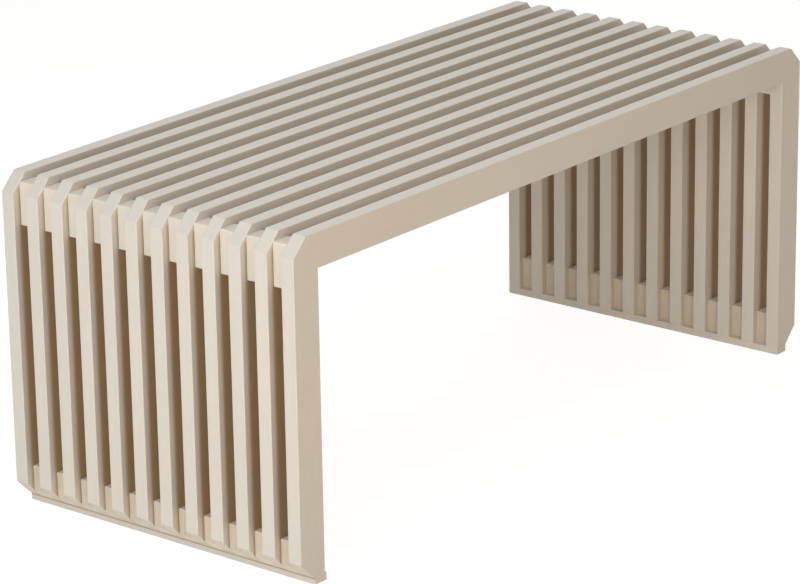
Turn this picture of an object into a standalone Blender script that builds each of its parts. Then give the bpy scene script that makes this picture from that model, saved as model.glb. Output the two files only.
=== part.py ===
"""Slatted wooden bench.

Upside-down U frames cut from board stand side by side. Blocks in the top corners and at the feet hold
them apart, a dowel rod threads each row of corner blocks, and a strip runs under each row of legs.

Frame: +X along the bench, +Y from the front to the back, +Z up. The origin is on the floor, under the
middle of the bench. Everything is in metres.
"""

import math

import bmesh
import bpy
from mathutils import Matrix, Vector

# Driving dimensions of the bench
LENGTH = 1.000
WIDTH = 0.4327
HEIGHT = 0.405

# Slat frames, spread evenly over the width
SLAT_COUNT = 12
SLAT_THICKNESS = 0.018
RAIL_DEPTH = 0.041
LEG_DEPTH = 0.041
TOP_CHAMFER = 0.021
FOOT_CHAMFER = 0.021

# Corner blocks, between the slats where rail and leg meet, set in from the legs' outer and inner faces
CORNER_BLOCK_OUTER_SET_IN = 0.0105
CORNER_BLOCK_INNER_SET_IN = 0.006
CORNER_BLOCK_SET_DOWN = 0.0095
CORNER_BLOCK_HEIGHT = 0.0515

# Foot blocks, between the legs on the foot strip, set in from the legs' outer and inner faces
FOOT_BLOCK_OUTER_SET_IN = 0.0103
FOOT_BLOCK_INNER_SET_IN = 0.0072
FOOT_BLOCK_HEIGHT = 0.0415

# Foot strips, under the legs
FOOT_STRIP_HEIGHT = 0.009
LEFT_STRIP_PROUD = 0.0024

# Dowel rods, through the corner blocks
ROD_DIAMETER = 0.010
ROD_END_WALL = 0.006
ROD_SIDES = 24

# Clearances and edges
JOINT_GAP = 0.0003
ROD_CLEARANCE = 0.0003
SLAT_EDGE_BREAK = 0.0008
BLOCK_EDGE_BREAK = 0.0008

# How the meshes are cleaned, bevelled and shaded
WELD_DISTANCE = 1e-5
COPLANAR_ANGLE = math.radians(1)
BEVELLED_ANGLE = math.radians(30)
SMOOTH_ANGLE = math.radians(40)

# Sizes that follow
SLAT_PITCH = (WIDTH - SLAT_THICKNESS) / (SLAT_COUNT - 1)
SLAT_GAP = SLAT_PITCH - SLAT_THICKNESS
LEG_FOOT_Z = FOOT_STRIP_HEIGHT + JOINT_GAP
FOOT_STRIP_WIDTH = LEG_DEPTH - FOOT_CHAMFER
BLOCK_THICKNESS = SLAT_GAP - 2 * JOINT_GAP
FIRST_SLAT_Y = (SLAT_THICKNESS - WIDTH) / 2
FIRST_GAP_Y = FIRST_SLAT_Y + SLAT_PITCH / 2

SIDES = {"left": -1, "right": 1}


def clear_scene():
    """Removes what the scene holds."""
    for old in list(bpy.data.objects):
        bpy.data.objects.remove(old, do_unlink=True)


def new_collection(name):
    """A collection of this name in the scene."""
    made = bpy.data.collections.new(name)
    bpy.context.scene.collection.children.link(made)
    return made


def finish(name, colour, roughness):
    """A Principled material; every piece of the bench is wood, so none is metallic."""
    material = bpy.data.materials.new(name)
    material.use_nodes = True
    shader = material.node_tree.nodes["Principled BSDF"]
    shader.inputs["Base Color"].default_value = (*colour, 1.0)
    shader.inputs["Roughness"].default_value = roughness
    shader.inputs["Metallic"].default_value = 0.0
    return material


def rectangle(low_x, low_z, high_x, high_z):
    """The corners of a rectangle seen from the front, anticlockwise."""
    return [
        Vector((low_x, low_z)),
        Vector((high_x, low_z)),
        Vector((high_x, high_z)),
        Vector((low_x, high_z)),
    ]


def cut_corner(outline, corner, inward, chamfer):
    """The outline with a 45 degree chamfer cut off at the corner; inward is the signs of x and z that lead
    into the bench from there."""
    normal = Vector(inward).normalized()
    reach = chamfer / math.sqrt(2)
    heights = [(point - Vector(corner)).dot(normal) - reach for point in outline]
    kept = []
    for i, point in enumerate(outline):
        before = i - 1
        if (heights[i] > 0) != (heights[before] > 0):
            share = heights[before] / (heights[before] - heights[i])
            kept.append(outline[before].lerp(point, share))
        if heights[i] > 0:
            kept.append(point)
    return kept


def with_chamfers(outline):
    """The outline with the bench's four outer corners cut off it. The saw cuts go through slats and blocks
    alike."""
    for side in SIDES.values():
        outer_x = side * LENGTH / 2
        outline = cut_corner(outline, (outer_x, HEIGHT), (-side, -1), TOP_CHAMFER)
        outline = cut_corner(outline, (outer_x, LEG_FOOT_Z), (-side, 1), FOOT_CHAMFER)
    return outline


def board(name, outline, thickness, material):
    """A mesh of the outline, given as x and z in the bench's frame, cut from board of this thickness. It
    lies in the XY plane of the mesh, with the thickness along Z and its middle at 0."""
    curve = bpy.data.curves.new(name, "CURVE")
    curve.dimensions = "2D"
    curve.fill_mode = "BOTH"
    curve.extrude = thickness / 2
    spline = curve.splines.new("POLY")
    spline.points.add(len(outline) - 1)
    for point, corner in zip(spline.points, outline):
        point.co = (corner.x, corner.y, 0.0, 1.0)
    spline.use_cyclic_u = True
    drawn = bpy.data.objects.new(name, curve)
    bpy.context.scene.collection.objects.link(drawn)
    graph = bpy.context.evaluated_depsgraph_get()
    mesh = bpy.data.meshes.new_from_object(drawn.evaluated_get(graph))
    bpy.data.objects.remove(drawn)
    bpy.data.curves.remove(curve)

    shape = bmesh.new()
    shape.from_mesh(mesh)
    bmesh.ops.remove_doubles(shape, verts=shape.verts, dist=WELD_DISTANCE)
    bmesh.ops.dissolve_limit(
        shape, angle_limit=COPLANAR_ANGLE, verts=shape.verts, edges=shape.edges
    )
    bmesh.ops.recalc_face_normals(shape, faces=shape.faces)
    shape.to_mesh(mesh)
    shape.free()
    mesh.name = name
    mesh.materials.clear()
    mesh.materials.append(material)
    return mesh


def box(name, size, material):
    """A box mesh of this size, with its middle at the origin."""
    mesh = bpy.data.meshes.new(name)
    shape = bmesh.new()
    bmesh.ops.create_cube(shape, size=1.0, matrix=Matrix.Diagonal((*size, 1.0)))
    shape.to_mesh(mesh)
    shape.free()
    mesh.materials.append(material)
    return mesh


def rod(name, radius, length, material=None):
    """A round rod mesh along Z, with its middle at the origin."""
    mesh = bpy.data.meshes.new(name)
    shape = bmesh.new()
    bmesh.ops.create_cone(
        shape,
        cap_ends=True,
        segments=ROD_SIDES,
        radius1=radius,
        radius2=radius,
        depth=length,
    )
    shape.to_mesh(mesh)
    shape.free()
    mesh.shade_smooth()
    mesh.set_sharp_from_angle(angle=SMOOTH_ANGLE)
    if material:
        mesh.materials.append(material)
    return mesh


def place(name, mesh, collection, parent, location, upright=True):
    """An object of the mesh. An upright one has its XY plane turned up to face the front of the bench."""
    made = bpy.data.objects.new(name, mesh)
    collection.objects.link(made)
    made.parent = parent
    made.location = location
    if upright:
        made.rotation_euler = (math.pi / 2, 0.0, 0.0)
    return made


def break_edges(piece, width):
    """Takes the sharp edge off the piece's corners."""
    bevel = piece.modifiers.new("edge break", "BEVEL")
    bevel.width = width
    bevel.segments = 1
    bevel.limit_method = "ANGLE"
    bevel.angle_limit = BEVELLED_ANGLE


def bore(piece, drill):
    """Drills the piece where the drill passes through it."""
    cut = piece.modifiers.new("rod hole", "BOOLEAN")
    cut.operation = "DIFFERENCE"
    cut.solver = "EXACT"
    cut.object = drill


def block_span(side, outer_set_in, inner_set_in):
    """The lowest and highest x of a block that is set in from the outer and inner faces of the legs."""
    outer = side * (LENGTH / 2 - outer_set_in)
    inner = side * (LENGTH / 2 - LEG_DEPTH + inner_set_in)
    return min(outer, inner), max(outer, inner)


def rod_centre(side):
    """Where the dowel rod crosses the bench's XZ plane: the middle of the corner blocks."""
    low_x, high_x = block_span(side, CORNER_BLOCK_OUTER_SET_IN, CORNER_BLOCK_INNER_SET_IN)
    z = HEIGHT - CORNER_BLOCK_SET_DOWN - CORNER_BLOCK_HEIGHT / 2
    return (low_x + high_x) / 2, z


def slat_outline():
    """The upside-down U of one slat frame, with its chamfers."""
    outer = LENGTH / 2
    inner = outer - LEG_DEPTH
    under = HEIGHT - RAIL_DEPTH
    points = [
        (-outer, LEG_FOOT_Z),
        (-inner, LEG_FOOT_Z),
        (-inner, under),
        (inner, under),
        (inner, LEG_FOOT_Z),
        (outer, LEG_FOOT_Z),
        (outer, HEIGHT),
        (-outer, HEIGHT),
    ]
    return with_chamfers([Vector(point) for point in points])


def make_slat_frames(parts, parent, material, drills):
    """The row of U frames, front to back, drilled for the rods. The rods stop inside the outer two."""
    mesh = board("slat_frame", slat_outline(), SLAT_THICKNESS, material)
    for i in range(SLAT_COUNT):
        location = (0.0, FIRST_SLAT_Y + i * SLAT_PITCH, 0.0)
        frame = place(f"slat_frame_{i + 1:02d}", mesh, parts, parent, location)
        break_edges(frame, SLAT_EDGE_BREAK)
        for drill in drills.values():
            bore(frame, drill)


def make_corner_spacers(parts, parent, material, drills):
    """The blocks between the slats in the two top corners, threaded on the rods."""
    top = HEIGHT - CORNER_BLOCK_SET_DOWN
    for name, side in SIDES.items():
        low_x, high_x = block_span(
            side, CORNER_BLOCK_OUTER_SET_IN, CORNER_BLOCK_INNER_SET_IN
        )
        outline = rectangle(low_x, top - CORNER_BLOCK_HEIGHT, high_x, top)
        mesh = board(
            f"corner_spacer_{name}", with_chamfers(outline), BLOCK_THICKNESS, material
        )
        for i in range(SLAT_COUNT - 1):
            location = (0.0, FIRST_GAP_Y + i * SLAT_PITCH, 0.0)
            spacer = place(f"corner_spacer_{name}_{i + 1:02d}", mesh, parts, parent, location)
            break_edges(spacer, BLOCK_EDGE_BREAK)
            bore(spacer, drills[name])


def make_foot_spacers(parts, parent, material):
    """The blocks between the legs at the two feet, with the foot chamfer running across them."""
    for name, side in SIDES.items():
        low_x, high_x = block_span(side, FOOT_BLOCK_OUTER_SET_IN, FOOT_BLOCK_INNER_SET_IN)
        outline = rectangle(low_x, LEG_FOOT_Z, high_x, LEG_FOOT_Z + FOOT_BLOCK_HEIGHT)
        mesh = board(
            f"foot_spacer_{name}", with_chamfers(outline), BLOCK_THICKNESS, material
        )
        for i in range(SLAT_COUNT - 1):
            location = (0.0, FIRST_GAP_Y + i * SLAT_PITCH, 0.0)
            spacer = place(f"foot_spacer_{name}_{i + 1:02d}", mesh, parts, parent, location)
            break_edges(spacer, BLOCK_EDGE_BREAK)


def make_foot_strips(parts, parent, material):
    """The strips under the legs. The right one is flush with the legs' inner faces, and the left one
    stands a little proud of them."""
    proud = {"left": LEFT_STRIP_PROUD, "right": 0.0}
    for name, side in SIDES.items():
        inner = LENGTH / 2 - LEG_DEPTH - proud[name]
        size = (FOOT_STRIP_WIDTH, WIDTH, FOOT_STRIP_HEIGHT)
        mesh = box(f"foot_strip_{name}", size, material)
        location = (side * (inner + FOOT_STRIP_WIDTH / 2), 0.0, FOOT_STRIP_HEIGHT / 2)
        strip = place(mesh.name, mesh, parts, parent, location, upright=False)
        break_edges(strip, BLOCK_EDGE_BREAK)


def make_tie_rods(parts, parent, material):
    """The dowel rods that hold the top corners together."""
    length = WIDTH - 2 * ROD_END_WALL - 2 * JOINT_GAP
    for name, side in SIDES.items():
        mesh = rod(f"tie_rod_{name}", ROD_DIAMETER / 2, length, material)
        x, z = rod_centre(side)
        place(mesh.name, mesh, parts, parent, (x, 0.0, z))


def make_drills(cutters, parent):
    """The shapes that drill the rod holes, one for each side. They show in no render."""
    drills = {}
    for name, side in SIDES.items():
        mesh = rod(
            f"drill_{name}", ROD_DIAMETER / 2 + ROD_CLEARANCE, WIDTH - 2 * ROD_END_WALL
        )
        x, z = rod_centre(side)
        drill = place(mesh.name, mesh, cutters, parent, (x, 0.0, z))
        drill.hide_render = True
        drill.display_type = "WIRE"
        drills[name] = drill
    return drills


def main():
    """Builds the bench."""
    clear_scene()
    parts = new_collection("slatted_bench")
    cutters = new_collection("cutters")
    origin = bpy.data.objects.new("bench_origin", None)
    parts.objects.link(origin)

    slat_lacquer = finish("slat_lacquer", (0.64, 0.56, 0.47), 0.45)
    block_lacquer = finish("block_lacquer", (0.66, 0.54, 0.43), 0.55)
    foot_lacquer = finish("foot_lacquer", (0.60, 0.47, 0.36), 0.60)
    strip_lacquer = finish("strip_lacquer", (0.62, 0.54, 0.44), 0.50)
    dowel_wood = finish("dowel_wood", (0.62, 0.45, 0.27), 0.70)

    drills = make_drills(cutters, origin)
    make_slat_frames(parts, origin, slat_lacquer, drills)
    make_corner_spacers(parts, origin, block_lacquer, drills)
    make_foot_spacers(parts, origin, foot_lacquer)
    make_foot_strips(parts, origin, strip_lacquer)
    make_tie_rods(parts, origin, dowel_wood)


if __name__ == "__main__":
    main()
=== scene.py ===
"""Slatted wooden bench: its finished surfaces, a plain studio and the camera, laid out as an add-on.

Frame: +X along the bench, +Y from the front to the back, +Z up, in metres, with the origin on the floor
under the middle of the bench.
"""

import math

import bmesh
import bpy
from bpy.props import FloatProperty, FloatVectorProperty, IntProperty, PointerProperty
from mathutils import Matrix, Vector


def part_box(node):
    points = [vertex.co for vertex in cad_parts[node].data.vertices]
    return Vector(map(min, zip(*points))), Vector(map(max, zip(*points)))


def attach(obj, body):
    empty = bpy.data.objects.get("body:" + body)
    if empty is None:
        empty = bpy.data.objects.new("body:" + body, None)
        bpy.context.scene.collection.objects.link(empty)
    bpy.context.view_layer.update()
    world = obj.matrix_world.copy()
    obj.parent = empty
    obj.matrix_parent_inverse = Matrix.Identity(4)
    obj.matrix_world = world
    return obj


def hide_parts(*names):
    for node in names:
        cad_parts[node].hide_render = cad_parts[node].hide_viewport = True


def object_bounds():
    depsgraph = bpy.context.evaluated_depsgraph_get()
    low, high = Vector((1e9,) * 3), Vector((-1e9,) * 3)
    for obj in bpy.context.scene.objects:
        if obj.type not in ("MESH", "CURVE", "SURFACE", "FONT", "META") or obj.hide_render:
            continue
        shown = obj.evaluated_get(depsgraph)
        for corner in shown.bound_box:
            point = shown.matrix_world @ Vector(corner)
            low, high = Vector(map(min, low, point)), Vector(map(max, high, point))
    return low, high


bl_info = {
    "name": "Slatted Bench",
    "version": (1, 0, 0),
    "blender": (4, 5, 0),
    "location": "View3D > Sidebar > Bench",
    "description": "Dresses a slatted wooden bench in its finishes and sets it in a plain studio",
    "category": "Object",
}

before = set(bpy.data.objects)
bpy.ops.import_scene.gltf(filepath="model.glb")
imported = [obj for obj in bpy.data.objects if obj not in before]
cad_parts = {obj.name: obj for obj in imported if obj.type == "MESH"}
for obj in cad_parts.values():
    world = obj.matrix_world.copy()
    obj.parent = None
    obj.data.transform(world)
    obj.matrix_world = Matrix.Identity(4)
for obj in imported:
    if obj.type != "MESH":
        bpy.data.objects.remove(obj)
CAD_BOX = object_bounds()

# What the frame says of the bench
FRONT_SLAT_LOW, FRONT_SLAT_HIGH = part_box("slat_frame_01")
BENCH_LENGTH = FRONT_SLAT_HIGH.x - FRONT_SLAT_LOW.x
BENCH_WIDTH = CAD_BOX[1][1] - CAD_BOX[0][1]
BENCH_HEIGHT = FRONT_SLAT_HIGH.z
LEG_FOOT_Z = FRONT_SLAT_LOW.z

# What is left open between the feet and the strips glued under them
GLUE_LINE = 0.00005

# How much the wood mirrors under the lacquer's coat
WOOD_SPECULAR = 0.1

# A face starts to count as facing a way where its normal points there by the first share, and counts in
# full from the second
FACING = (0.3, 0.65)

SIDES = {"left": -1, "right": 1}
BODY = "root"

# Names of the values that a row of boards carries to its material
SHIFT_NAME = "board_shift"
TONE_NAME = "board_tone"

# The name that the Bevel modifier reads its edge weights from
ROUNDED_NAME = "bevel_weight_edge"


# Settings that a user would change


def length_setting(name, description, metres):
    """A length that a user can set."""
    return FloatProperty(name=name, description=description, default=metres, unit="LENGTH")


def share_setting(name, description, default):
    """A share from 0 to 1 that a user can set."""
    return FloatProperty(
        name=name, description=description, default=default, min=0.0, max=1.0, subtype="FACTOR"
    )


def colour_setting(name, description, default):
    """A colour that a user can set."""
    return FloatVectorProperty(
        name=name, description=description, default=default, size=3, subtype="COLOR"
    )


def angle_setting(name, description, degrees):
    """An angle that a user can set."""
    return FloatProperty(
        name=name, description=description, default=math.radians(degrees), subtype="ANGLE"
    )


def power_setting(name, description, watts):
    """A lamp power that a user can set."""
    return FloatProperty(name=name, description=description, default=watts, unit="POWER")


class BenchSizes(bpy.types.PropertyGroup):
    """Sizes of the bench's pieces that their boxes don't give."""

    rail_depth: length_setting(
        "Rail Depth", "Height of the rail, from its top to its underside", 0.041
    )
    leg_depth: length_setting("Leg Depth", "Width of a leg along the bench", 0.041)
    top_chamfer: length_setting(
        "Top Chamfer", "How far the cut at the top corners reaches along each face", 0.021
    )
    foot_chamfer: length_setting(
        "Foot Chamfer", "How far the cut at the foot corners reaches along each face", 0.021
    )
    slat_rounding: length_setting(
        "Slat Rounding", "Radius of the sanded edges of the slats", 0.0009
    )
    block_rounding: length_setting(
        "Block Rounding", "Radius of the sanded edges of the spacers and strips", 0.0006
    )
    joint_fill: length_setting(
        "Joint Fill", "How far the lacquer fills the joint at each side of a spacer", 0.0002
    )
    block_play: length_setting(
        "Block Play", "How far a spacer may sit from its place, as hand assembly leaves it", 0.0003
    )
    rounding_steps: IntProperty(
        name="Rounding Steps",
        description="Faces across a sanded edge",
        default=3,
        min=1,
        max=6,
    )


class BenchFinishes(bpy.types.PropertyGroup):
    """Colours and gloss of the lacquer and of the wood under it, and the colours of the painted shade in
    the gaps and under the lip of the foot chamfers.
    """

    lacquer: colour_setting(
        "Lacquer", "Cream lacquer of the slats and the foot strips", (0.655, 0.61, 0.54)
    )
    block_lacquer: colour_setting(
        "Block Lacquer",
        "Thin lacquer of the corner spacers, the wood showing through",
        (0.70, 0.635, 0.535),
    )
    foot_lacquer: colour_setting(
        "Foot Lacquer", "The thinnest lacquer, on the foot spacers", (0.63, 0.55, 0.44)
    )
    end_lacquer: colour_setting(
        "End Lacquer", "Filled and lacquered end grain of the spacers", (0.71, 0.65, 0.555)
    )
    # Painted shade: a dark brown laid on the top of the foot strips' outer faces, in the shade under the
    # lip of the foot chamfers
    lip_shade: colour_setting(
        "Lip Shade",
        "Thin lacquer of the foot strips, under the lip of the foot chamfers",
        (0.46, 0.375, 0.255),
    )
    # Painted shade: a dark brown laid on the sides of the slats deep in the gaps, where shade falls
    gap_shade: colour_setting(
        "Gap Shade",
        "Thin lacquer on the sides of the slats, deep in the gaps",
        (0.45, 0.30, 0.15),
    )
    wood: colour_setting("Wood", "Bare wood under the lacquer", (0.49, 0.32, 0.175))
    dowel: colour_setting("Dowel", "Bare hardwood of the rods", (0.55, 0.38, 0.21))
    gloss_roughness: share_setting(
        "Lacquer Roughness", "Roughness of the satin lacquer", 0.42
    )
    bare_roughness: share_setting(
        "Wood Roughness", "Roughness of thinly lacquered and bare wood", 0.62
    )


class BenchStudio(bpy.types.PropertyGroup):
    """Camera, lamps and backdrop."""

    camera_place: FloatVectorProperty(
        name="Camera",
        description="Where the camera stands",
        subtype="TRANSLATION",
        size=3,
        default=(-3.32118, -2.62231, 1.59437),
    )
    camera_heading: angle_setting("Heading", "Direction of view, clockwise from +Y", 51.291)
    camera_dip: angle_setting("Dip", "How far the view points below level", 18.69)
    camera_roll: angle_setting("Roll", "Turn of the camera about its own line of view", -0.9104)
    camera_lens: FloatProperty(
        name="Lens",
        description="Focal length in millimetres, on a frame 36 mm wide",
        default=164.54,
    )
    camera_rise: FloatProperty(
        name="Rise",
        description="Vertical shift of the lens, as a share of the frame's width",
        default=0.00625,
    )
    left_power: power_setting("Left Lamps", "Power of the lamps at the left, together", 64.5)
    front_power: power_setting("Front Lamps", "Power of the lamps at the front, together", 42.5)
    back_power: power_setting("Back Lamp", "Power of the lamp behind", 23.5)
    ambient: FloatProperty(
        name="Ambient", description="Strength of the light from all round", default=0.14
    )


# Outlines and meshes


def rectangle(low_x, low_z, high_x, high_z):
    """The corners of an upright rectangle, in order round it."""
    return [
        Vector((low_x, low_z)),
        Vector((high_x, low_z)),
        Vector((high_x, high_z)),
        Vector((low_x, high_z)),
    ]


def cut_corner(outline, corner, inward, chamfer):
    """The outline with a 45 degree chamfer cut off at the corner; inward is the signs of x and z that lead
    into the bench from there."""
    normal = Vector(inward).normalized()
    reach = chamfer / math.sqrt(2)
    heights = [(point - Vector(corner)).dot(normal) - reach for point in outline]
    kept = []
    for i, point in enumerate(outline):
        before = i - 1
        if (heights[i] > 0) != (heights[before] > 0):
            share = heights[before] / (heights[before] - heights[i])
            kept.append(outline[before].lerp(point, share))
        if heights[i] > 0:
            kept.append(point)
    return kept


def with_chamfers(outline, sizes):
    """The outline with the bench's four outer corners cut off it."""
    for side in SIDES.values():
        outer_x = side * BENCH_LENGTH / 2
        outline = cut_corner(
            outline, (outer_x, BENCH_HEIGHT), (-side, -1), sizes.top_chamfer
        )
        outline = cut_corner(
            outline, (outer_x, LEG_FOOT_Z), (-side, 1), sizes.foot_chamfer
        )
    return outline


def slat_outline(sizes):
    """The upside-down U of one slat frame, with its chamfers."""
    outer = BENCH_LENGTH / 2
    inner = outer - sizes.leg_depth
    under = BENCH_HEIGHT - sizes.rail_depth
    corners = [
        (-outer, LEG_FOOT_Z),
        (-inner, LEG_FOOT_Z),
        (-inner, under),
        (inner, under),
        (inner, LEG_FOOT_Z),
        (outer, LEG_FOOT_Z),
        (outer, BENCH_HEIGHT),
        (-outer, BENCH_HEIGHT),
    ]
    return with_chamfers([Vector(corner) for corner in corners], sizes)


def outline_mesh(name, outline):
    """A mesh of one upright face, at y = 0 and facing +Y, with this outline in x and z."""
    shape = bmesh.new()
    for point in reversed(outline):
        shape.verts.new((point.x, 0.0, point.y))
    shape.faces.new(shape.verts)
    mesh = bpy.data.meshes.new(name)
    shape.to_mesh(mesh)
    shape.free()
    return mesh


# Node trees


def output_of(source):
    """The socket that a link starts from: the source itself, or the first output in use of a node."""
    if isinstance(source, bpy.types.NodeSocket):
        return source
    return next(socket for socket in source.outputs if socket.enabled)


def feed(tree, socket, source):
    """Links a node or a socket to this input, or sets the input to any other value."""
    if isinstance(source, (bpy.types.Node, bpy.types.NodeSocket)):
        tree.links.new(output_of(source), socket)
    else:
        socket.default_value = source


def connect(tree, node, inputs):
    """Feeds the node's inputs by name. A list feeds all that it holds to one input."""
    for name, value in inputs.items():
        socket = next(socket for socket in node.inputs if socket.enabled and socket.name == name)
        for source in value if isinstance(value, list) else [value]:
            feed(tree, socket, source)


def add(tree, kind, inputs=None, **settings):
    """A node of this kind with these settings and inputs."""
    node = tree.nodes.new(kind)
    for name, value in settings.items():
        setattr(node, name, value)
    connect(tree, node, inputs or {})
    return node


def calculate(tree, operation, *values, clamp=False):
    """A Math node on values that are numbers, nodes or sockets."""
    node = add(tree, "ShaderNodeMath", operation=operation, use_clamp=clamp)
    for socket, value in zip(node.inputs, values):
        feed(tree, socket, value)
    return node


def ramp(tree, value, reach, most=1.0):
    """Goes smoothly from 0 where the value is the first of the reach to most where it is the second."""
    return add(
        tree,
        "ShaderNodeMapRange",
        {"Value": value, "From Min": reach[0], "From Max": reach[1], "To Max": most},
        interpolation_type="SMOOTHSTEP",
    )


def vector_of(tree, **parts):
    """A Combine XYZ node; a part that isn't given is 0."""
    return add(tree, "ShaderNodeCombineXYZ", parts)


def new_group(name, kind, inputs, outputs):
    """A node tree with these sockets, its input node and its output node. An input has a type and a
    default, which is None where there is none."""
    tree = bpy.data.node_groups.new(name, kind)
    for label, (socket_type, default) in inputs.items():
        socket = tree.interface.new_socket(label, in_out="INPUT", socket_type=socket_type)
        if default is not None:
            socket.default_value = default
    for label, socket_type in outputs.items():
        tree.interface.new_socket(label, in_out="OUTPUT", socket_type=socket_type)
    given = tree.nodes.new("NodeGroupInput").outputs
    made = tree.nodes.new("NodeGroupOutput")
    return tree, given, made


def board_row_tree():
    """Geometry Nodes: cuts the outline from board and lays copies of it along Y, each with its own tone and
    its own place in the grain."""
    tree, given, made = new_group(
        "board_row",
        "GeometryNodeTree",
        {
            "Outline": ("NodeSocketGeometry", None),
            "Thickness": ("NodeSocketFloat", 0.018),
            "Count": ("NodeSocketInt", 1),
            "Pitch": ("NodeSocketFloat", 0.04),
            "First Board": ("NodeSocketFloat", 0.0),
            "Play": ("NodeSocketFloat", 0.0),
            "Glued Level": ("NodeSocketFloat", -1.0),
            "Seed": ("NodeSocketInt", 0),
            "Finish": ("NodeSocketMaterial", None),
        },
        {"Boards": "NodeSocketGeometry"},
    )
    weld_distance = 1e-5
    level_slack = 1e-4
    glued_share = 0.05
    longest_shift = 4.0

    # One board: the outline pushed out by the thickness, and closed with the outline turned round
    pushed = add(
        tree,
        "GeometryNodeExtrudeMesh",
        {"Mesh": given["Outline"], "Offset Scale": given["Thickness"], "Individual": False},
        mode="FACES",
    )
    turned = add(tree, "GeometryNodeFlipFaces", {"Mesh": given["Outline"]})
    shell = add(tree, "GeometryNodeJoinGeometry", {"Geometry": [pushed, turned]})
    closed = add(
        tree, "GeometryNodeMergeByDistance", {"Geometry": shell, "Distance": weld_distance}
    )
    smooth = add(
        tree, "GeometryNodeSetShadeSmooth", {"Geometry": closed, "Shade Smooth": True}
    )

    # Every edge is sanded round; those that lie in the glued joint only keep a trace of it
    ends = add(tree, "GeometryNodeInputMeshEdgeVertices")
    off_level = [
        calculate(
            tree,
            "ABSOLUTE",
            calculate(
                tree,
                "SUBTRACT",
                add(tree, "ShaderNodeSeparateXYZ", {"Vector": ends.outputs[end]}).outputs["Z"],
                given["Glued Level"],
            ),
        )
        for end in ("Position 1", "Position 2")
    ]
    free = calculate(tree, "GREATER_THAN", calculate(tree, "MAXIMUM", *off_level), level_slack)
    rounding = calculate(tree, "MAXIMUM", free, glued_share)
    sanded = add(
        tree,
        "GeometryNodeStoreNamedAttribute",
        {"Geometry": smooth, "Name": ROUNDED_NAME, "Value": rounding},
        data_type="FLOAT",
        domain="EDGE",
    )
    half_back = calculate(tree, "MULTIPLY", given["Thickness"], -0.5)
    board = add(
        tree,
        "GeometryNodeTransform",
        {"Geometry": sanded, "Translation": vector_of(tree, Y=half_back)},
    )

    # The row, each board within its play
    places = add(
        tree,
        "GeometryNodeMeshLine",
        {
            "Count": given["Count"],
            "Start Location": vector_of(tree, Y=given["First Board"]),
            "Offset": vector_of(tree, Y=given["Pitch"]),
        },
        mode="OFFSET",
    )
    row = add(
        tree, "GeometryNodeInstanceOnPoints", {"Points": places, "Instance": board}
    )
    play_back = calculate(tree, "MULTIPLY", given["Play"], -1.0)
    play = add(
        tree,
        "FunctionNodeRandomValue",
        {
            "Min": vector_of(tree, X=play_back, Z=play_back),
            "Max": vector_of(tree, X=given["Play"], Z=given["Play"]),
            "Seed": given["Seed"],
        },
        data_type="FLOAT_VECTOR",
    )
    laid = add(
        tree, "GeometryNodeTranslateInstances", {"Instances": row, "Translation": play}
    )

    # What the finish reads: each board's shift through the grain, and its tone
    shift = add(
        tree,
        "FunctionNodeRandomValue",
        {
            "Min": (-longest_shift,) * 3,
            "Max": (longest_shift,) * 3,
            "Seed": calculate(tree, "ADD", given["Seed"], 1.0),
        },
        data_type="FLOAT_VECTOR",
    )
    shifted = add(
        tree,
        "GeometryNodeStoreNamedAttribute",
        {"Geometry": laid, "Name": SHIFT_NAME, "Value": shift},
        data_type="FLOAT_VECTOR",
        domain="INSTANCE",
    )
    tone = add(
        tree,
        "FunctionNodeRandomValue",
        {"Seed": calculate(tree, "ADD", given["Seed"], 2.0)},
        data_type="FLOAT",
    )
    toned = add(
        tree,
        "GeometryNodeStoreNamedAttribute",
        {"Geometry": shifted, "Name": TONE_NAME, "Value": tone},
        data_type="FLOAT",
        domain="INSTANCE",
    )
    real = add(tree, "GeometryNodeRealizeInstances", {"Geometry": toned})
    finished = add(
        tree, "GeometryNodeSetMaterial", {"Geometry": real, "Material": given["Finish"]}
    )
    connect(tree, made, {"Boards": finished})
    return tree


def frame_grain_group():
    """Turns a place on a slat frame so that X runs along the grain: along the bench in the rail and
    upwards in the legs, which meet at a mitre."""
    tree, given, made = new_group(
        "frame_grain",
        "ShaderNodeTree",
        {
            "Place": ("NodeSocketVector", None),
            "Half Length": ("NodeSocketFloat", 0.5),
            "Height": ("NodeSocketFloat", 0.4),
        },
        {"Grain Place": "NodeSocketVector"},
    )
    place = add(tree, "ShaderNodeSeparateXYZ", {"Vector": given["Place"]})
    x, y, z = place.outputs
    from_end = calculate(tree, "SUBTRACT", given["Half Length"], calculate(tree, "ABSOLUTE", x))
    from_top = calculate(tree, "SUBTRACT", given["Height"], z)
    turned = add(
        tree,
        "ShaderNodeMix",
        {
            "Factor": calculate(tree, "GREATER_THAN", from_top, from_end),
            "A": vector_of(tree, X=x, Y=z, Z=y),
            "B": vector_of(tree, X=z, Y=x, Z=y),
        },
        data_type="VECTOR",
    )
    connect(tree, made, {"Grain Place": turned})
    return tree


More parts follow.
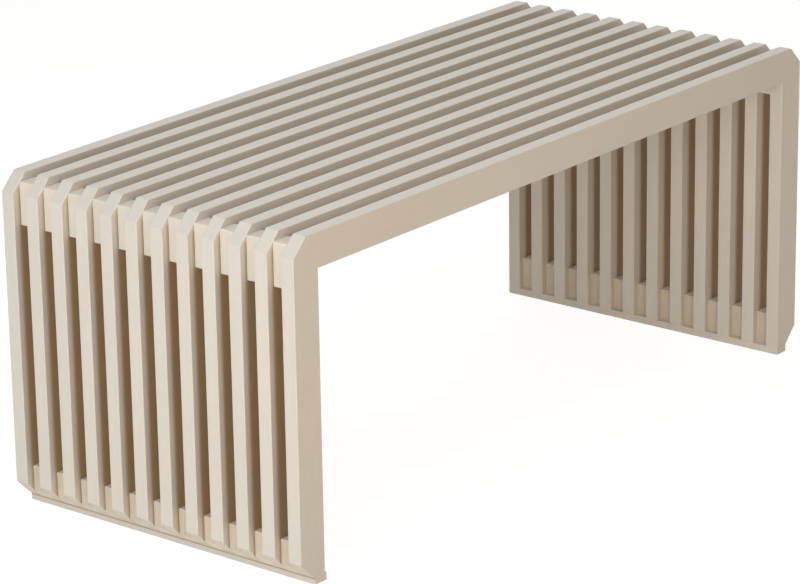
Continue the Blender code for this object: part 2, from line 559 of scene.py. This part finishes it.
def wood_figure_group():
    """Growth rings, streaks and pores of straight grained wood, from 0 to 1 each."""
    tree, given, made = new_group(
        "wood_figure",
        "ShaderNodeTree",
        {
            "Grain Place": ("NodeSocketVector", None),
            "Shift": ("NodeSocketVector", None),
            "Ring Width": ("NodeSocketFloat", 0.006),
            "Streak Width": ("NodeSocketFloat", 0.0025),
            "Pore Width": ("NodeSocketFloat", 0.0007),
        },
        {
            "Rings": "NodeSocketFloat",
            "Streaks": "NodeSocketFloat",
            "Pores": "NodeSocketFloat",
        },
    )
    # The length at which the wave texture's bands repeat, at a scale of 1
    wave_period = 0.314
    # How much of its length along the grain each pattern's place keeps
    ring_share, streak_share, pore_share = 0.05, 0.02, 0.025
    # The level of the noise where a pore starts, and where it is full
    pore_levels = (0.60, 0.72)
    place = add(tree, "ShaderNodeVectorMath", operation="ADD")
    tree.links.new(given["Grain Place"], place.inputs[0])
    tree.links.new(given["Shift"], place.inputs[1])

    def drawn_out(share):
        """The place with its length along the grain shortened to this share, which draws a pattern out."""
        return add(
            tree, "ShaderNodeMapping", {"Vector": place, "Scale": (share, 1.0, 1.0)}
        )

    rings = add(
        tree,
        "ShaderNodeTexWave",
        {
            "Vector": drawn_out(ring_share),
            "Scale": calculate(tree, "DIVIDE", wave_period, given["Ring Width"]),
            "Distortion": 5.0,
            "Detail": 2.0,
            "Detail Scale": 0.6,
            "Detail Roughness": 0.5,
        },
        wave_type="BANDS",
        bands_direction="DIAGONAL",
        wave_profile="SAW",
    )
    streaks = add(
        tree,
        "ShaderNodeTexNoise",
        {
            "Vector": drawn_out(streak_share),
            "Scale": calculate(tree, "DIVIDE", 1.0, given["Streak Width"]),
            "Detail": 4.0,
            "Roughness": 0.6,
        },
    )
    pore_noise = add(
        tree,
        "ShaderNodeTexNoise",
        {
            "Vector": drawn_out(pore_share),
            "Scale": calculate(tree, "DIVIDE", 1.0, given["Pore Width"]),
            "Detail": 1.0,
        },
    )
    connect(
        tree,
        made,
        {
            "Rings": rings.outputs["Fac"],
            "Streaks": streaks.outputs["Fac"],
            "Pores": ramp(tree, pore_noise, pore_levels),
        },
    )
    return tree


def arris_group():
    """How far a place lies on the rounding between a board's side and its edge: 1 in the middle of the
    rounding, 0 on the flats. Normal is in the object's axes."""
    tree, given, made = new_group(
        "arris",
        "ShaderNodeTree",
        {"Normal": ("NodeSocketVector", None), "Sharpness": ("NodeSocketFloat", 2.0)},
        {"Mask": "NodeSocketFloat"},
    )
    normal = add(tree, "ShaderNodeSeparateXYZ", {"Vector": given["Normal"]})
    side = calculate(tree, "ABSOLUTE", normal.outputs["Y"])
    rest = calculate(tree, "SUBTRACT", 1.0, calculate(tree, "MULTIPLY", side, side), clamp=True)
    edge = calculate(tree, "SQRT", rest)
    both = calculate(tree, "MULTIPLY", calculate(tree, "MULTIPLY", side, edge), 2.0)
    mask = calculate(tree, "POWER", both, given["Sharpness"], clamp=True)
    connect(tree, made, {"Mask": mask})
    return tree


def end_grain_group():
    """How far a face cuts across the grain: 0 along it, 1 from about 40 degrees on. Normal is turned so
    that X runs along the grain."""
    tree, given, made = new_group(
        "end_grain",
        "ShaderNodeTree",
        {"Normal": ("NodeSocketVector", None)},
        {"Mask": "NodeSocketFloat"},
    )
    normal = add(tree, "ShaderNodeSeparateXYZ", {"Vector": given["Normal"]})
    across = calculate(tree, "ABSOLUTE", normal.outputs["X"])
    connect(tree, made, {"Mask": ramp(tree, across, FACING)})
    return tree


def under_lip_group():
    """Where a foot strip gets painted shade: on its outer face, 1 at its top, under the lip of the foot
    chamfers, 0 lower down and on the other faces."""
    tree, given, made = new_group(
        "under_lip",
        "ShaderNodeTree",
        {
            "Place": ("NodeSocketVector", None),
            "Normal": ("NodeSocketVector", None),
            "Top": ("NodeSocketFloat", 0.009),
        },
        {"Mask": "NodeSocketFloat"},
    )
    # How far below the top the painted shade starts, and is full
    reach = (0.0034, 0.0024)
    outward_least = 0.5
    place = add(tree, "ShaderNodeSeparateXYZ", {"Vector": given["Place"]})
    normal = add(tree, "ShaderNodeSeparateXYZ", {"Vector": given["Normal"]})
    side = calculate(tree, "SIGN", place.outputs["X"])
    outward = calculate(tree, "MULTIPLY", normal.outputs["X"], side)
    outer_face = calculate(tree, "GREATER_THAN", outward, outward_least)
    below_top = calculate(tree, "SUBTRACT", given["Top"], place.outputs["Z"])
    near_top = ramp(tree, below_top, reach)
    # The mask of painted shade under the lip
    connect(tree, made, {"Mask": calculate(tree, "MULTIPLY", outer_face, near_top)})
    return tree


def gap_depth_group():
    """Where a slat gets painted shade: 0 on the faces that look out, up or in and near the edges of its
    sides, 1 on its sides in the depth of a gap, and a little on the faces that look down."""
    tree, given, made = new_group(
        "gap_depth",
        "ShaderNodeTree",
        {
            "Place": ("NodeSocketVector", None),
            "Normal": ("NodeSocketVector", None),
            "Half Length": ("NodeSocketFloat", 0.5),
            "Half Width": ("NodeSocketFloat", 0.2),
            "Height": ("NodeSocketFloat", 0.4),
            "Board Depth": ("NodeSocketFloat", 0.04),
        },
        {"Mask": "NodeSocketFloat"},
    )
    # How deep behind the outer ends, the top and the inner faces the painted shade starts, and is full
    end_reach = (0.005, 0.012)
    top_reach = (0.012, 0.022)
    inside_reach = (0.010, 0.019)
    # How much painted shade the faces that look down get
    under_share = 0.27
    # How much the normal of a slat's side points along the width at least, and how near the front and the
    # back of the bench a side is still an outer one
    side_least = 0.7
    outer_skin = 0.002
    place = add(tree, "ShaderNodeSeparateXYZ", {"Vector": given["Place"]})
    x, y, z = place.outputs
    normal = add(tree, "ShaderNodeSeparateXYZ", {"Vector": given["Normal"]})
    from_end = calculate(tree, "SUBTRACT", given["Half Length"], calculate(tree, "ABSOLUTE", x))
    from_top = calculate(tree, "SUBTRACT", given["Height"], z)
    from_outside = calculate(tree, "MINIMUM", from_end, from_top)
    from_inside = calculate(tree, "SUBTRACT", given["Board Depth"], from_outside)
    behind_faces = calculate(
        tree, "MULTIPLY", ramp(tree, from_end, end_reach), ramp(tree, from_top, top_reach)
    )
    # Painted shade deep in the gaps, where little light reaches
    thin = calculate(tree, "MULTIPLY", behind_faces, ramp(tree, from_inside, inside_reach))
    on_side = calculate(
        tree, "GREATER_THAN", calculate(tree, "ABSOLUTE", normal.outputs["Y"]), side_least
    )
    from_front = calculate(tree, "SUBTRACT", given["Half Width"], calculate(tree, "ABSOLUTE", y))
    between = calculate(tree, "GREATER_THAN", from_front, outer_skin)
    in_gap = calculate(tree, "MULTIPLY", thin, calculate(tree, "MULTIPLY", on_side, between))
    downward = [-level for level in FACING]
    # Painted shade on the faces that look down
    underneath = ramp(tree, normal.outputs["Z"], downward, under_share)
    mask = calculate(tree, "MAXIMUM", in_gap, underneath)
    connect(tree, made, {"Mask": mask})
    return tree


def lacquer_group():
    """Sprayed lacquer over wood: its colour, which the Thinness And Painted Shade mask turns towards a
    second colour and which gets a painted highlight on the arrises, its roughness, the weight of its glossy
    coat, which it loses under that mask, and the height of its surface."""
    tree, given, made = new_group(
        "lacquer",
        "ShaderNodeTree",
        {
            "Lacquer": ("NodeSocketColor", None),
            "Wood": ("NodeSocketColor", None),
            "Thin Lacquer And Painted Shade": ("NodeSocketColor", None),
            "Thinness And Painted Shade": ("NodeSocketFloat", 0.0),
            "Show Through": ("NodeSocketFloat", 0.1),
            "Filling": ("NodeSocketFloat", 0.0),
            "Board Tone": ("NodeSocketFloat", 0.5),
            "Tone Spread": ("NodeSocketFloat", 0.03),
            "Place": ("NodeSocketVector", None),
            "Cloud Size": ("NodeSocketFloat", 0.12),
            "Cloud Spread": ("NodeSocketFloat", 0.03),
            "Rings": ("NodeSocketFloat", 0.5),
            "Streaks": ("NodeSocketFloat", 0.5),
            "Pores": ("NodeSocketFloat", 0.0),
            "Arris": ("NodeSocketFloat", 0.0),
            "Arris Lightness": ("NodeSocketFloat", 0.05),
            "Roughness": ("NodeSocketFloat", 0.45),
            "Full Coat": ("NodeSocketFloat", 0.85),
            "Coat Loss": ("NodeSocketFloat", 0.75),
        },
        {
            "Color": "NodeSocketColor",
            "Roughness": "NodeSocketFloat",
            "Coat": "NodeSocketFloat",
            "Height": "NodeSocketFloat",
        },
    )
    # The level of a pattern or a tone at which it changes nothing
    middle = 0.5
    # What the rings and the streaks each make of the figure
    ring_part, streak_part = 0.5, 0.5
    # The peel's size and height, a streak's depth as a share of a pore's, and the least that both keep
    peel_size, peel_height, streak_depth, least_depth = 0.0022, 0.5, 0.6, 0.25
    # How much the figure changes the roughness, and how much an arris lowers it
    figure_roughness, arris_polish = 0.14, 0.08

    # How much wood shows: more in the dark rings, the streaks and the pores, less where it is filled
    figure = calculate(
        tree,
        "ADD",
        calculate(tree, "MULTIPLY", given["Rings"], ring_part),
        calculate(tree, "MULTIPLY", given["Streaks"], streak_part),
    )
    hidden = calculate(tree, "MULTIPLY", given["Thinness And Painted Shade"], given["Filling"])
    sheer = calculate(
        tree, "MULTIPLY", given["Show Through"], calculate(tree, "SUBTRACT", 1.0, hidden)
    )
    pattern = calculate(tree, "ADD", figure, given["Pores"])
    shown = calculate(tree, "MULTIPLY", pattern, sheer, clamp=True)
    # The lacquer mixed towards the second colour by the mask: painted shade on the slats and strips, thin
    # lacquer on the spacers' end grain
    coat = add(
        tree,
        "ShaderNodeMix",
        {"Factor": given["Thinness And Painted Shade"], "A": given["Lacquer"], "B": given["Thin Lacquer And Painted Shade"]},
        data_type="RGBA",
    )
    film = add(
        tree,
        "ShaderNodeMix",
        {"Factor": shown, "A": coat, "B": given["Wood"]},
        data_type="RGBA",
    )

    # Tone: each board's own, the clouds of the spraying, and a painted highlight on the arrises
    clouds = add(
        tree,
        "ShaderNodeTexNoise",
        {
            "Vector": given["Place"],
            "Scale": calculate(tree, "DIVIDE", 1.0, given["Cloud Size"]),
            "Detail": 2.0,
        },
    )
    cloud_tone = calculate(
        tree,
        "MULTIPLY",
        calculate(tree, "SUBTRACT", clouds.outputs["Fac"], middle),
        calculate(tree, "MULTIPLY", given["Cloud Spread"], 2.0),
    )
    board_tone = calculate(
        tree,
        "MULTIPLY",
        calculate(tree, "SUBTRACT", given["Board Tone"], middle),
        given["Tone Spread"],
    )
    # Painted highlight: the arrises are lightened where light would catch them
    arris_highlight_tone = calculate(tree, "MULTIPLY", given["Arris"], given["Arris Lightness"])
    tone = calculate(
        tree,
        "ADD",
        calculate(tree, "ADD", calculate(tree, "ADD", cloud_tone, board_tone), arris_highlight_tone),
        1.0,
    )
    colour = add(tree, "ShaderNodeVectorMath", {"Vector": film, "Scale": tone}, operation="SCALE")

    # Surface: the peel of the lacquer, sunk a little over streaks and pores
    peel = add(
        tree,
        "ShaderNodeTexNoise",
        {"Vector": given["Place"], "Scale": 1.0 / peel_size, "Detail": 1.0},
    )
    sunk = calculate(
        tree,
        "ADD",
        calculate(tree, "MULTIPLY", given["Streaks"], streak_depth),
        given["Pores"],
    )
    depth = calculate(tree, "ADD", given["Show Through"], least_depth)
    height = calculate(
        tree,
        "SUBTRACT",
        calculate(tree, "MULTIPLY", peel.outputs["Fac"], peel_height),
        calculate(tree, "MULTIPLY", sunk, depth),
    )
    rough_change = calculate(
        tree, "MULTIPLY", calculate(tree, "SUBTRACT", figure, middle), figure_roughness
    )
    polish = calculate(tree, "MULTIPLY", given["Arris"], arris_polish)
    roughness = calculate(
        tree,
        "SUBTRACT",
        calculate(tree, "ADD", given["Roughness"], rough_change),
        polish,
        clamp=True,
    )
    lost_coat = calculate(tree, "MULTIPLY", given["Thinness And Painted Shade"], given["Coat Loss"])
    connect(
        tree,
        made,
        {
            "Color": colour,
            "Roughness": roughness,
            "Coat": calculate(tree, "SUBTRACT", given["Full Coat"], lost_coat, clamp=True),
            "Height": height,
        },
    )
    return tree


def use_group(tree, name, inputs):
    """A node of the shader group of this name, with these inputs."""
    node = tree.nodes.new("ShaderNodeGroup")
    node.node_tree = bpy.data.node_groups[name]
    connect(tree, node, inputs)
    return node


# Finishes


def turned_place(tree, place, along):
    """The place turned so that X runs along the grain, which runs along this axis of the bench."""
    parts = add(tree, "ShaderNodeSeparateXYZ", {"Vector": place}).outputs
    order = {"X": "XYZ", "Y": "YXZ", "Z": "ZXY"}[along]
    return vector_of(tree, X=parts[order[0]], Y=parts[order[1]], Z=parts[order[2]])


def wooden_finish(
    name, grain, colours, roughness, relief, widths, board_depth=0.0, lip=None, **values
):
    """A lacquered or bare wood finish. Grain is "frame" for the slat frames, whose rail and legs have this
    board depth, or the axis that the grain runs along. The second colour is painted shade in the gaps of
    the frames and, where a lip is given, under the lip at this height; elsewhere it is thin lacquer on the
    end grain. Colours are those of the lacquer, the second colour and the wood, and widths those of the
    rings, the streaks and the pores. Values are other inputs of the lacquer group, such as show_through for
    Show Through."""
    material = bpy.data.materials.new(name)
    material.use_nodes = True
    tree = material.node_tree
    place = add(tree, "ShaderNodeTexCoord")
    if grain == "frame":
        grain_place = use_group(
            tree,
            "frame_grain",
            {
                "Place": place.outputs["Object"],
                "Half Length": BENCH_LENGTH / 2,
                "Height": BENCH_HEIGHT,
            },
        )
        # The mask of painted shade deep in the gaps and on the faces that look down
        thinness_and_shade = use_group(
            tree,
            "gap_depth",
            {
                "Place": place.outputs["Object"],
                "Normal": place.outputs["Normal"],
                "Half Length": BENCH_LENGTH / 2,
                "Half Width": BENCH_WIDTH / 2,
                "Height": BENCH_HEIGHT,
                "Board Depth": board_depth,
            },
        )
    else:
        grain_place = turned_place(tree, place.outputs["Object"], grain)
        if lip is None:
            grain_normal = turned_place(tree, place.outputs["Normal"], grain)
            thinness_and_shade = use_group(tree, "end_grain", {"Normal": grain_normal})
        else:
            thinness_and_shade = use_group(
                # Painted shade under the lip of the foot chamfers
                tree,
                "under_lip",
                {"Place": place.outputs["Object"], "Normal": place.outputs["Normal"], "Top": lip},
            )
    shift = add(tree, "ShaderNodeAttribute", attribute_name=SHIFT_NAME)
    tone = add(tree, "ShaderNodeAttribute", attribute_name=TONE_NAME)
    figure = use_group(
        tree,
        "wood_figure",
        {
            "Grain Place": grain_place,
            "Shift": shift.outputs["Vector"],
            "Ring Width": widths[0],
            "Streak Width": widths[1],
            "Pore Width": widths[2],
        },
    )
    lacquer = use_group(
        tree,
        "lacquer",
        {
            "Lacquer": (*colours[0], 1.0),
            "Thin Lacquer And Painted Shade": (*colours[1], 1.0),
            "Wood": (*colours[2], 1.0),
            "Thinness And Painted Shade": thinness_and_shade,
            "Board Tone": tone.outputs["Fac"],
            "Place": place.outputs["Object"],
            "Rings": figure.outputs["Rings"],
            "Streaks": figure.outputs["Streaks"],
            "Pores": figure.outputs["Pores"],
            "Arris": use_group(tree, "arris", {"Normal": place.outputs["Normal"]}),
            "Roughness": roughness,
            **{key.replace("_", " ").title(): value for key, value in values.items()},
        },
    )
    bump = add(
        tree,
        "ShaderNodeBump",
        {"Strength": 1.0, "Distance": relief, "Height": lacquer.outputs["Height"]},
    )
    connect(
        tree,
        tree.nodes["Principled BSDF"],
        {
            "Base Color": lacquer.outputs["Color"],
            "Roughness": lacquer.outputs["Roughness"],
            "Specular IOR Level": WOOD_SPECULAR,
            "Coat Weight": lacquer.outputs["Coat"],
            "Coat Roughness": roughness,
            "Normal": bump,
        },
    )
    return material


def slat_finish(finishes, board_depth):
    """Satin cream lacquer, nearly closed over the grain, with painted shade on its sides in the depth of
    the gaps and a little on the faces that look down.
    """
    return wooden_finish(
        "satin_cream_lacquer",
        "frame",
        (finishes.lacquer, finishes.gap_shade, finishes.wood),
        finishes.gloss_roughness,
        relief=0.00006,
        widths=(0.007, 0.0028, 0.0008),
        board_depth=board_depth,
        show_through=0.07,
        tone_spread=0.035,
        cloud_size=0.10,
        cloud_spread=0.035,
        arris_lightness=0.02,
    )


def corner_finish(finishes):
    """Thin lacquer of the corner spacers, filled on their end grain."""
    return wooden_finish(
        "thin_cream_lacquer",
        "Z",
        (finishes.block_lacquer, finishes.end_lacquer, finishes.wood),
        finishes.bare_roughness,
        relief=0.00008,
        widths=(0.004, 0.002, 0.0006),
        coat_loss=0.1,
        filling=0.85,
        show_through=0.10,
        tone_spread=0.05,
        cloud_size=0.05,
        cloud_spread=0.05,
        arris_lightness=0.05,
    )


def foot_finish(finishes):
    """The thinnest lacquer, on the foot spacers, the grain plain to see but on their filled ends."""
    return wooden_finish(
        "sheer_cream_lacquer",
        "Z",
        (finishes.foot_lacquer, finishes.end_lacquer, finishes.wood),
        finishes.bare_roughness,
        relief=0.0001,
        widths=(0.0035, 0.0018, 0.0006),
        coat_loss=0.1,
        filling=0.85,
        show_through=0.29,
        tone_spread=0.10,
        cloud_size=0.03,
        cloud_spread=0.07,
        arris_lightness=0.04,
    )


def strip_finish(finishes):
    """Cream lacquer of the foot strips, with painted shade under the lip of the foot chamfers."""
    return wooden_finish(
        "strip_cream_lacquer",
        "Y",
        (finishes.lacquer, finishes.lip_shade, finishes.wood),
        finishes.gloss_roughness,
        relief=0.00006,
        widths=(0.005, 0.0022, 0.0007),
        lip=LEG_FOOT_Z,
        show_through=0.06,
        tone_spread=0.02,
        cloud_size=0.06,
        cloud_spread=0.05,
        arris_lightness=0.05,
    )


def dowel_finish(finishes):
    """Bare hardwood of the rods."""
    return wooden_finish(
        "bare_dowel_wood",
        "Y",
        (finishes.dowel, finishes.dowel, finishes.wood),
        finishes.bare_roughness,
        relief=0.0001,
        widths=(0.002, 0.001, 0.0004),
        show_through=0.6,
        tone_spread=0.0,
        cloud_size=0.05,
        cloud_spread=0.05,
        arris_lightness=0.0,
    )


# Pieces


def node_names(prefix):
    """The frame's nodes of this prefix, in order."""
    return sorted(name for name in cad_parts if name.startswith(prefix))


def board_row(
    name, outline, nodes, material, rounding, steps, seed, play=0.0, swell=0.0, glued=-1.0
):
    """A row of boards of this outline that stands for the nodes, one board for each. It takes its
    thickness, its place and its pitch from the nodes' boxes, with the thickness swollen by this much at
    each side. Its edges are rounded, but for those at the height where it is glued."""
    first_low, first_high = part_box(nodes[0])
    last_low, last_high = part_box(nodes[-1])
    first_y = (first_low.y + first_high.y) / 2
    last_y = (last_low.y + last_high.y) / 2
    piece = bpy.data.objects.new(name, outline_mesh(name, outline))
    bpy.context.scene.collection.objects.link(piece)

    tree = bpy.data.node_groups["board_row"]
    row = piece.modifiers.new("row of boards", "NODES")
    row.node_group = tree
    values = {
        "Thickness": first_high.y - first_low.y + 2 * swell,
        "Count": len(nodes),
        "Pitch": (last_y - first_y) / max(len(nodes) - 1, 1),
        "First Board": first_y,
        "Play": play,
        "Glued Level": glued,
        "Seed": seed,
        "Finish": material,
    }
    for item in tree.interface.items_tree:
        if item.name in values:
            row[item.identifier] = values[item.name]
    edges = piece.modifiers.new("sanded edges", "BEVEL")
    edges.width = rounding
    edges.segments = steps
    edges.limit_method = "WEIGHT"
    edges.harden_normals = True

    graph = bpy.context.evaluated_depsgraph_get()
    mesh = bpy.data.meshes.new_from_object(
        piece.evaluated_get(graph), preserve_all_data_layers=True, depsgraph=graph
    )
    piece.modifiers.clear()
    piece.data = mesh
    mesh.name = name
    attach(piece, BODY)
    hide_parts(*nodes)


class BENCH_OT_slat_frames(bpy.types.Operator):
    """Makes the row of upside-down U frames"""

    bl_idname = "bench.slat_frames"
    bl_label = "Slat Frames"

    def execute(self, context):
        scene = context.scene
        board_row(
            "slats",
            slat_outline(scene.bench_sizes),
            node_names("slat_frame_"),
            slat_finish(scene.bench_finishes, scene.bench_sizes.rail_depth),
            scene.bench_sizes.slat_rounding,
            scene.bench_sizes.rounding_steps,
            seed=3,
            glued=LEG_FOOT_Z,
        )
        return {"FINISHED"}


def spacer_rows(kind, material, sizes, seed):
    """The two rows of spacers of this kind, with the bench's chamfers cut across them."""
    for number, side in enumerate(SIDES):
        nodes = node_names(f"{kind}_spacer_{side}_")
        low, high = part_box(nodes[0])
        outline = with_chamfers(rectangle(low.x, low.z, high.x, high.z), sizes)
        board_row(
            f"{kind}_spacers_{side}",
            outline,
            nodes,
            material,
            sizes.block_rounding,
            sizes.rounding_steps,
            seed=seed + number,
            play=sizes.block_play,
            swell=sizes.joint_fill,
        )


class BENCH_OT_corner_spacers(bpy.types.Operator):
    """Makes the two rows of spacers in the top corners"""

    bl_idname = "bench.corner_spacers"
    bl_label = "Corner Spacers"

    def execute(self, context):
        scene = context.scene
        material = corner_finish(scene.bench_finishes)
        spacer_rows("corner", material, scene.bench_sizes, seed=11)
        return {"FINISHED"}


class BENCH_OT_foot_spacers(bpy.types.Operator):
    """Makes the two rows of spacers between the feet"""

    bl_idname = "bench.foot_spacers"
    bl_label = "Foot Spacers"

    def execute(self, context):
        scene = context.scene
        material = foot_finish(scene.bench_finishes)
        spacer_rows("foot", material, scene.bench_sizes, seed=21)
        return {"FINISHED"}


class BENCH_OT_foot_strips(bpy.types.Operator):
    """Makes the strips under the two rows of legs"""

    bl_idname = "bench.foot_strips"
    bl_label = "Foot Strips"

    def execute(self, context):
        scene = context.scene
        material = strip_finish(scene.bench_finishes)
        for number, side in enumerate(SIDES):
            node = f"foot_strip_{side}"
            low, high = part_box(node)
            top = LEG_FOOT_Z - GLUE_LINE
            board_row(
                f"{side}_foot_strip",
                rectangle(low.x, low.z, high.x, top),
                [node],
                material,
                scene.bench_sizes.block_rounding,
                scene.bench_sizes.rounding_steps,
                seed=31 + number,
                glued=top,
            )
        return {"FINISHED"}


class BENCH_OT_tie_rods(bpy.types.Operator):
    """Gives the hidden dowel rods their finish; their shape is the frame's"""

    bl_idname = "bench.tie_rods"
    bl_label = "Tie Rods"

    def execute(self, context):
        material = dowel_finish(context.scene.bench_finishes)
        for name in node_names("tie_rod_"):
            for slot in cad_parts[name].material_slots:
                slot.material = material
        return {"FINISHED"}


# Stage


# For each side: a lamp's name, share of the side's power, heading and rise in degrees, distance, size and
# colour
LAMPS = {
    "left": (
        ("left high", 0.47, 270, 55, 3.5, 2.0, (0.82, 0.925, 1.0)),
        ("left low", 0.20, 270, 12, 3.5, 2.0, (0.92, 0.98, 0.98)),
        ("left by the floor", 0.33, 262, 7, 3.0, 0.7, (0.89, 0.94, 1.0)),
    ),
    "front": (
        ("front high", 0.28, 185, 58, 3.5, 2.0, (0.76, 0.72, 0.76)),
        ("front left", 0.54, 223, 33, 3.5, 1.5, (0.92, 0.84, 0.87)),
        ("front near", 0.18, 204, 22, 2.4, 0.8, (1.0, 0.76, 0.40)),
    ),
    "back": (("back high", 1.0, 50, 58, 3.5, 2.0, (1.0, 0.92, 0.82)),),
}

# The floor, and the glow that replaces its own light by this share where it is seen directly
FLOOR_RADIUS = 40.0
FLOOR_COLOUR = (0.93, 0.86, 0.75, 1.0)
GLOW_COLOUR = (0.96, 0.98, 1.0, 1.0)
GLOW_STRENGTH = 1.52
GLOW_SHARE = 0.55

# Width of the camera's frame in millimetres
FRAME_WIDTH = 36.0


def seen_directly(tree):
    """1 for a ray from the camera, or one that a mirror or glass sends on from it, and 0 for the others."""
    path = add(tree, "ShaderNodeLightPath")
    glossy_or_camera = calculate(
        tree, "MAXIMUM", path.outputs["Is Camera Ray"], path.outputs["Is Glossy Ray"]
    )
    return calculate(tree, "MAXIMUM", glossy_or_camera, path.outputs["Is Transmission Ray"])


def floor_material():
    """A pale floor that shows as white with the bench's soft shadow on it."""
    material = bpy.data.materials.new("studio_floor")
    material.use_nodes = True
    tree = material.node_tree
    tree.nodes.clear()
    matt = add(tree, "ShaderNodeBsdfDiffuse", {"Color": FLOOR_COLOUR})
    glow = add(tree, "ShaderNodeEmission", {"Color": GLOW_COLOUR, "Strength": GLOW_STRENGTH})
    share = calculate(tree, "MULTIPLY", seen_directly(tree), GLOW_SHARE)
    mixed = tree.nodes.new("ShaderNodeMixShader")
    for socket, source in zip(mixed.inputs, (share, matt, glow)):
        tree.links.new(output_of(source), socket)
    add(tree, "ShaderNodeOutputMaterial", {"Surface": mixed})
    return material


def make_floor():
    """A wide round floor under the bench."""
    mesh = bpy.data.meshes.new("studio_floor")
    shape = bmesh.new()
    bmesh.ops.create_circle(shape, cap_ends=True, segments=64, radius=FLOOR_RADIUS)
    shape.to_mesh(mesh)
    shape.free()
    mesh.materials.append(floor_material())
    floor = bpy.data.objects.new("studio_floor", mesh)
    bpy.context.scene.collection.objects.link(floor)


def make_world(ambient):
    """Even light from all round, which shows as white."""
    world = bpy.data.worlds.new("studio")
    bpy.context.scene.world = world
    world.use_nodes = True
    tree = world.node_tree
    seen = seen_directly(tree)
    strength = add(tree, "ShaderNodeMix", {"Factor": seen, "A": ambient, "B": 1.0}, data_type="FLOAT")
    connect(
        tree, tree.nodes["Background"], {"Color": (1.0, 1.0, 1.0, 1.0), "Strength": strength}
    )


def make_lamp(name, heading, rise, distance, size, power, colour):
    """A square soft lamp that stands at this heading from the bench, in degrees clockwise from its back, at
    this angle above the floor, and points at the bench."""
    light = bpy.data.lights.new(name, "AREA")
    light.shape = "SQUARE"
    light.size = size
    light.energy = power
    light.color = colour
    lamp = bpy.data.objects.new(name, light)
    bpy.context.scene.collection.objects.link(lamp)
    turn = Matrix.Rotation(math.radians(-heading), 3, "Z")
    lift = Matrix.Rotation(math.radians(rise), 3, "X")
    lamp.location = turn @ lift @ Vector((0.0, distance, 0.0))
    aim = Vector((0.0, 0.0, BENCH_HEIGHT / 2))
    lamp.rotation_euler = (aim - lamp.location).to_track_quat("-Z", "Y").to_euler()
    lamp.visible_camera = False


def make_camera(studio):
    """The camera at the photograph's place and angle."""
    data = bpy.data.cameras.new("camera")
    data.sensor_width = FRAME_WIDTH
    data.lens = studio.camera_lens
    data.shift_y = studio.camera_rise
    camera = bpy.data.objects.new("camera", data)
    bpy.context.scene.collection.objects.link(camera)
    heading = Matrix.Rotation(-studio.camera_heading, 4, "Z")
    tilt = Matrix.Rotation(math.pi / 2 - studio.camera_dip, 4, "X")
    roll = Matrix.Rotation(studio.camera_roll, 4, "Z")
    camera.matrix_world = Matrix.Translation(studio.camera_place) @ heading @ tilt @ roll
    bpy.context.scene.camera = camera


class BENCH_OT_studio(bpy.types.Operator):
    """Sets up the floor, the light and the camera"""

    bl_idname = "bench.studio"
    bl_label = "Studio"

    def execute(self, context):
        studio = context.scene.bench_studio
        make_floor()
        make_world(studio.ambient)
        powers = {
            "left": studio.left_power,
            "front": studio.front_power,
            "back": studio.back_power,
        }
        for side, lamps in LAMPS.items():
            for name, share, heading, rise, distance, size, colour in lamps:
                power = powers[side] * share
                make_lamp(name, heading, rise, distance, size, power, colour)
        make_camera(studio)
        context.scene.view_settings.view_transform = "Standard"
        return {"FINISHED"}


class BENCH_PT_panel(bpy.types.Panel):
    """Lists the bench's pieces and its settings"""

    bl_label = "Slatted Bench"
    bl_idname = "BENCH_PT_panel"
    bl_space_type = "VIEW_3D"
    bl_region_type = "UI"
    bl_category = "Bench"

    def draw(self, context):
        layout = self.layout
        for operator in OPERATORS:
            layout.operator(operator.bl_idname)
        for group_name in GROUPS:
            box = layout.box()
            group = getattr(context.scene, group_name)
            for key in group.bl_rna.properties.keys():
                if key not in ("rna_type", "name"):
                    box.prop(group, key)


GROUPS = {
    "bench_sizes": BenchSizes,
    "bench_finishes": BenchFinishes,
    "bench_studio": BenchStudio,
}
OPERATORS = (
    BENCH_OT_slat_frames,
    BENCH_OT_corner_spacers,
    BENCH_OT_foot_spacers,
    BENCH_OT_foot_strips,
    BENCH_OT_tie_rods,
    BENCH_OT_studio,
)
CLASSES = (*GROUPS.values(), *OPERATORS, BENCH_PT_panel)


def register():
    """Registers the classes, and keeps each group of settings on the scene."""
    for each in CLASSES:
        bpy.utils.register_class(each)
    for name, group in GROUPS.items():
        setattr(bpy.types.Scene, name, PointerProperty(type=group))


def unregister():
    """Takes away what register() added."""
    for name in GROUPS:
        delattr(bpy.types.Scene, name)
    for each in reversed(CLASSES):
        bpy.utils.unregister_class(each)


def main():
    """Makes the node trees, then the bench and its studio."""
    register()
    board_row_tree()
    frame_grain_group()
    wood_figure_group()
    arris_group()
    end_grain_group()
    under_lip_group()
    gap_depth_group()
    lacquer_group()
    bpy.ops.bench.slat_frames()
    bpy.ops.bench.corner_spacers()
    bpy.ops.bench.foot_spacers()
    bpy.ops.bench.foot_strips()
    bpy.ops.bench.tie_rods()
    bpy.ops.bench.studio()


if __name__ == "__main__":
    main()
